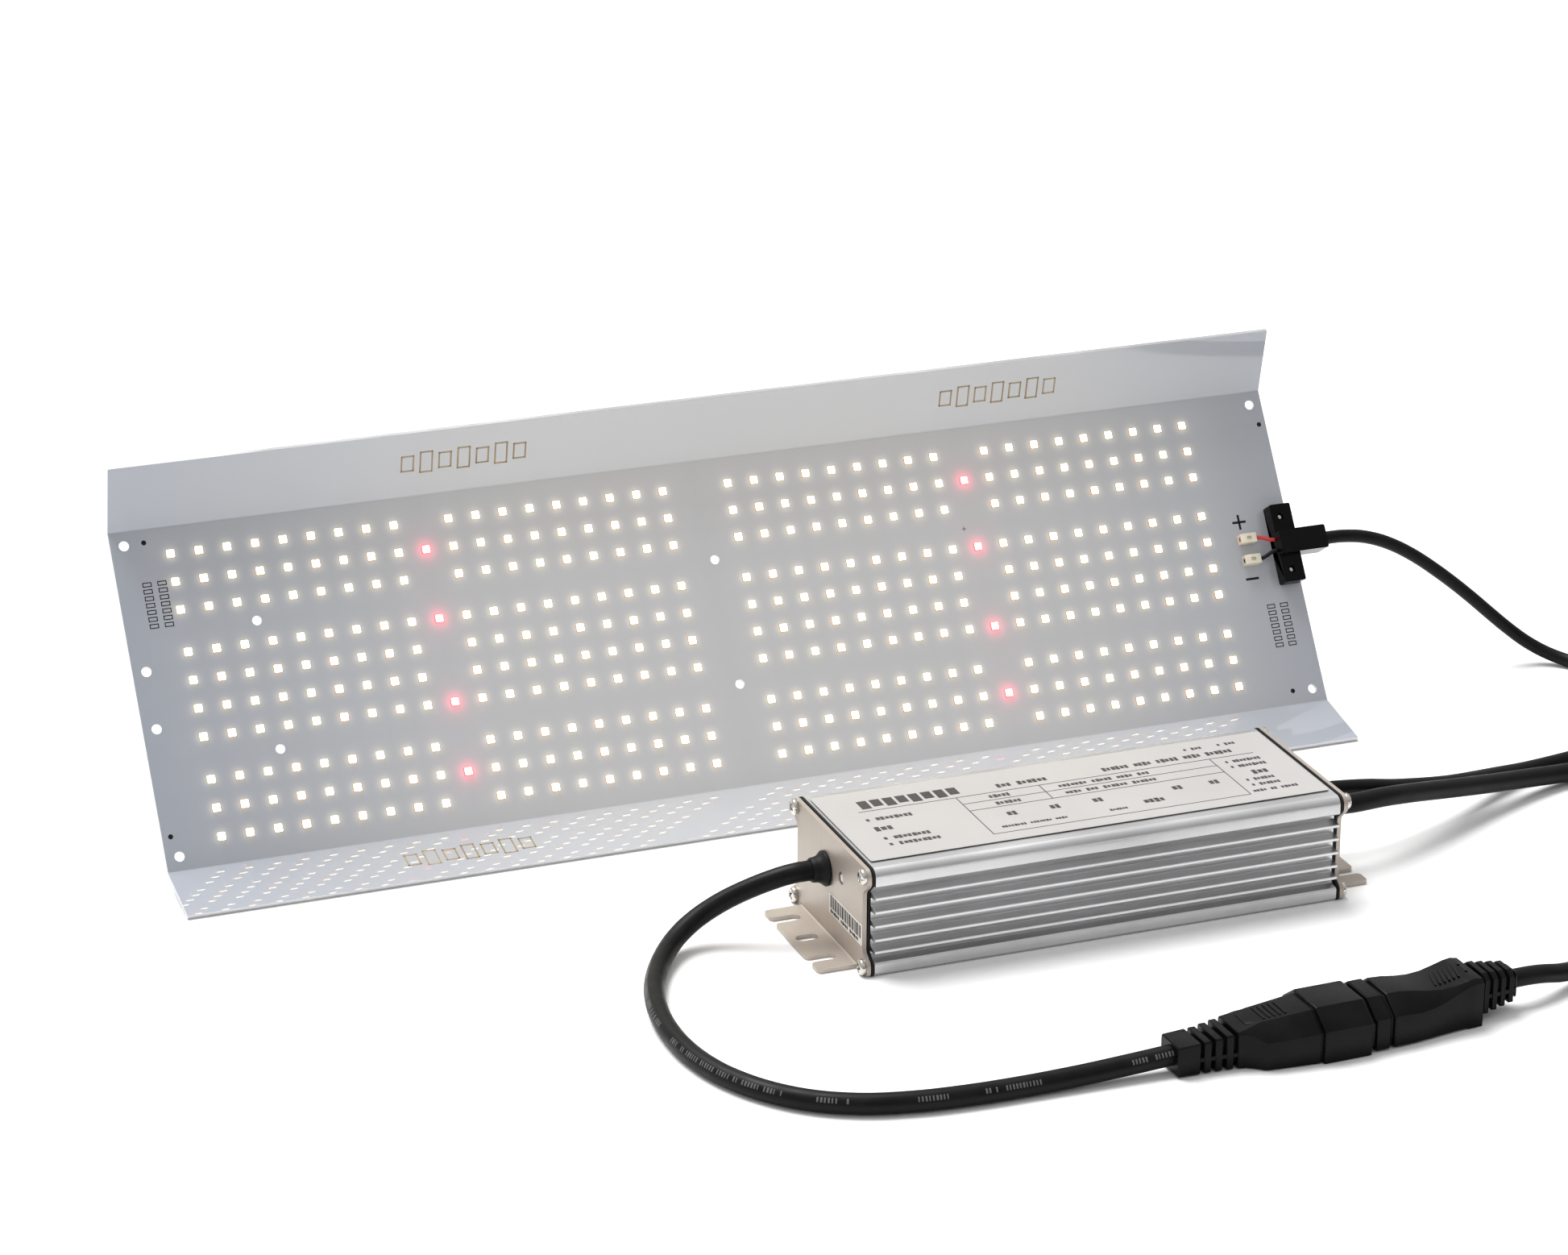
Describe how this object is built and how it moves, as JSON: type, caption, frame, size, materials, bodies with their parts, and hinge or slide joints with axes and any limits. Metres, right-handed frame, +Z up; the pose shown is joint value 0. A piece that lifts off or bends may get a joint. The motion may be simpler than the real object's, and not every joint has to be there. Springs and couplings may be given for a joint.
{
  "type": "led grow light",
  "caption": "Grow light: LED board bent into a shallow aluminium channel, sealed finned LED driver, inline appliance coupler, mains lead and plug.",
  "frame": {"origin": "middle of the footprint of the board and the driver together, on the surface they stand on", "axes": "+X along the board and the driver, towards the board's cord clamp; +Z up; the lit side of the board looks towards -Y and up"},
  "size_m": [0.6657, 0.3801, 0.1334],
  "materials": {
    "board_aluminium": "satin white solder mask over aluminium",
    "white_leds": "phosphor under clear silicone, lit",
    "red_leds": "clear silicone over red dies, lit",
    "terminal_housing": "ivory moulded nylon",
    "red_insulation": "red PVC insulation",
    "black_insulation": "black PVC insulation",
    "clamp_plastic": "moulded black nylon",
    "clamp_screws": "plated steel",
    "case_aluminium": "satin anodised extrusion",
    "end_plates": "plated sheet steel",
    "end_screws": "plated steel, cross recess",
    "seal_rubber": "black silicone",
    "gland_rubber": "moulded black bush",
    "fill_stopper": "silicone",
    "label_foil": "silver printed film",
    "circuit_board": "green solder mask",
    "ferrite": "ferrite with taped winding",
    "copper_winding": "enamelled copper",
    "capacitor_sleeve": "shrink sleeve",
    "cord_jacket": "black rubber jacket",
    "coupler_plastic": "moulded black PVC",
    "link_plastic": "moulded black nylon",
    "pin_metal": "nickel-plated brass",
    "tie_rubber": "black hook-and-loop band",
    "purple_insulation": "purple PVC insulation",
    "grey_insulation": "grey PVC insulation"
  },
  "bodies": {
    "light": {"led_board": "board_aluminium", "white_leds_1": "white_leds", "white_leds_2": "white_leds", "white_leds_3": "white_leds", "white_leds_4": "white_leds", "red_leds_1": "red_leds", "red_leds_2": "red_leds", "terminal_plus": "terminal_housing", "terminal_minus": "terminal_housing", "core_plus": "red_insulation", "core_minus": "black_insulation", "cord_clamp": "clamp_plastic", "clamp_screw_upper": "clamp_screws", "clamp_screw_lower": "clamp_screws", "driver_case": "case_aluminium", "input_end_plate": "end_plates", "output_end_plate": "end_plates", "input_end_screw_1": "end_screws", "input_end_screw_2": "end_screws", "input_end_screw_3": "end_screws", "input_end_screw_4": "end_screws", "output_end_screw_1": "end_screws", "output_end_screw_2": "end_screws", "output_end_screw_3": "end_screws", "output_end_screw_4": "end_screws", "input_gasket": "seal_rubber", "output_gasket": "seal_rubber", "input_gland": "gland_rubber", "output_gland": "gland_rubber", "dimming_gland": "gland_rubber", "fill_plug": "fill_stopper", "driver_label": "label_foil", "driver_circuit_board": "circuit_board", "transformer": "ferrite", "input_choke": "copper_winding", "bulk_capacitor": "capacitor_sleeve", "output_capacitor": "capacitor_sleeve", "input_cord": "cord_jacket", "output_cord": "cord_jacket", "dimming_lead": "cord_jacket", "board_lead": "cord_jacket", "inline_inlet": "coupler_plastic", "output_socket": "link_plastic", "output_plug": "link_plastic", "inlet_pin_earth": "pin_metal", "inlet_pin_live": "pin_metal", "inlet_pin_neutral": "pin_metal", "dimming_core_plus": "purple_insulation", "dimming_core_minus": "grey_insulation"},
    "mains_lead": {"mains_connector": "coupler_plastic", "connector_contact_earth": "pin_metal", "connector_contact_live": "pin_metal", "connector_contact_neutral": "pin_metal", "mains_cord": "cord_jacket", "mains_coil": "cord_jacket", "mains_cord_tail": "cord_jacket", "coil_tie": "tie_rubber", "mains_plug": "coupler_plastic", "mains_plug_pin_1": "pin_metal", "mains_plug_pin_2": "pin_metal"}
  },
  "joints": [
    {"name": "connector_pull", "type": "slide", "parent": "light", "child": "mains_lead", "axis": [0.9996, 0.0297, 0], "range_m": [0, 0.02]}
  ]
}
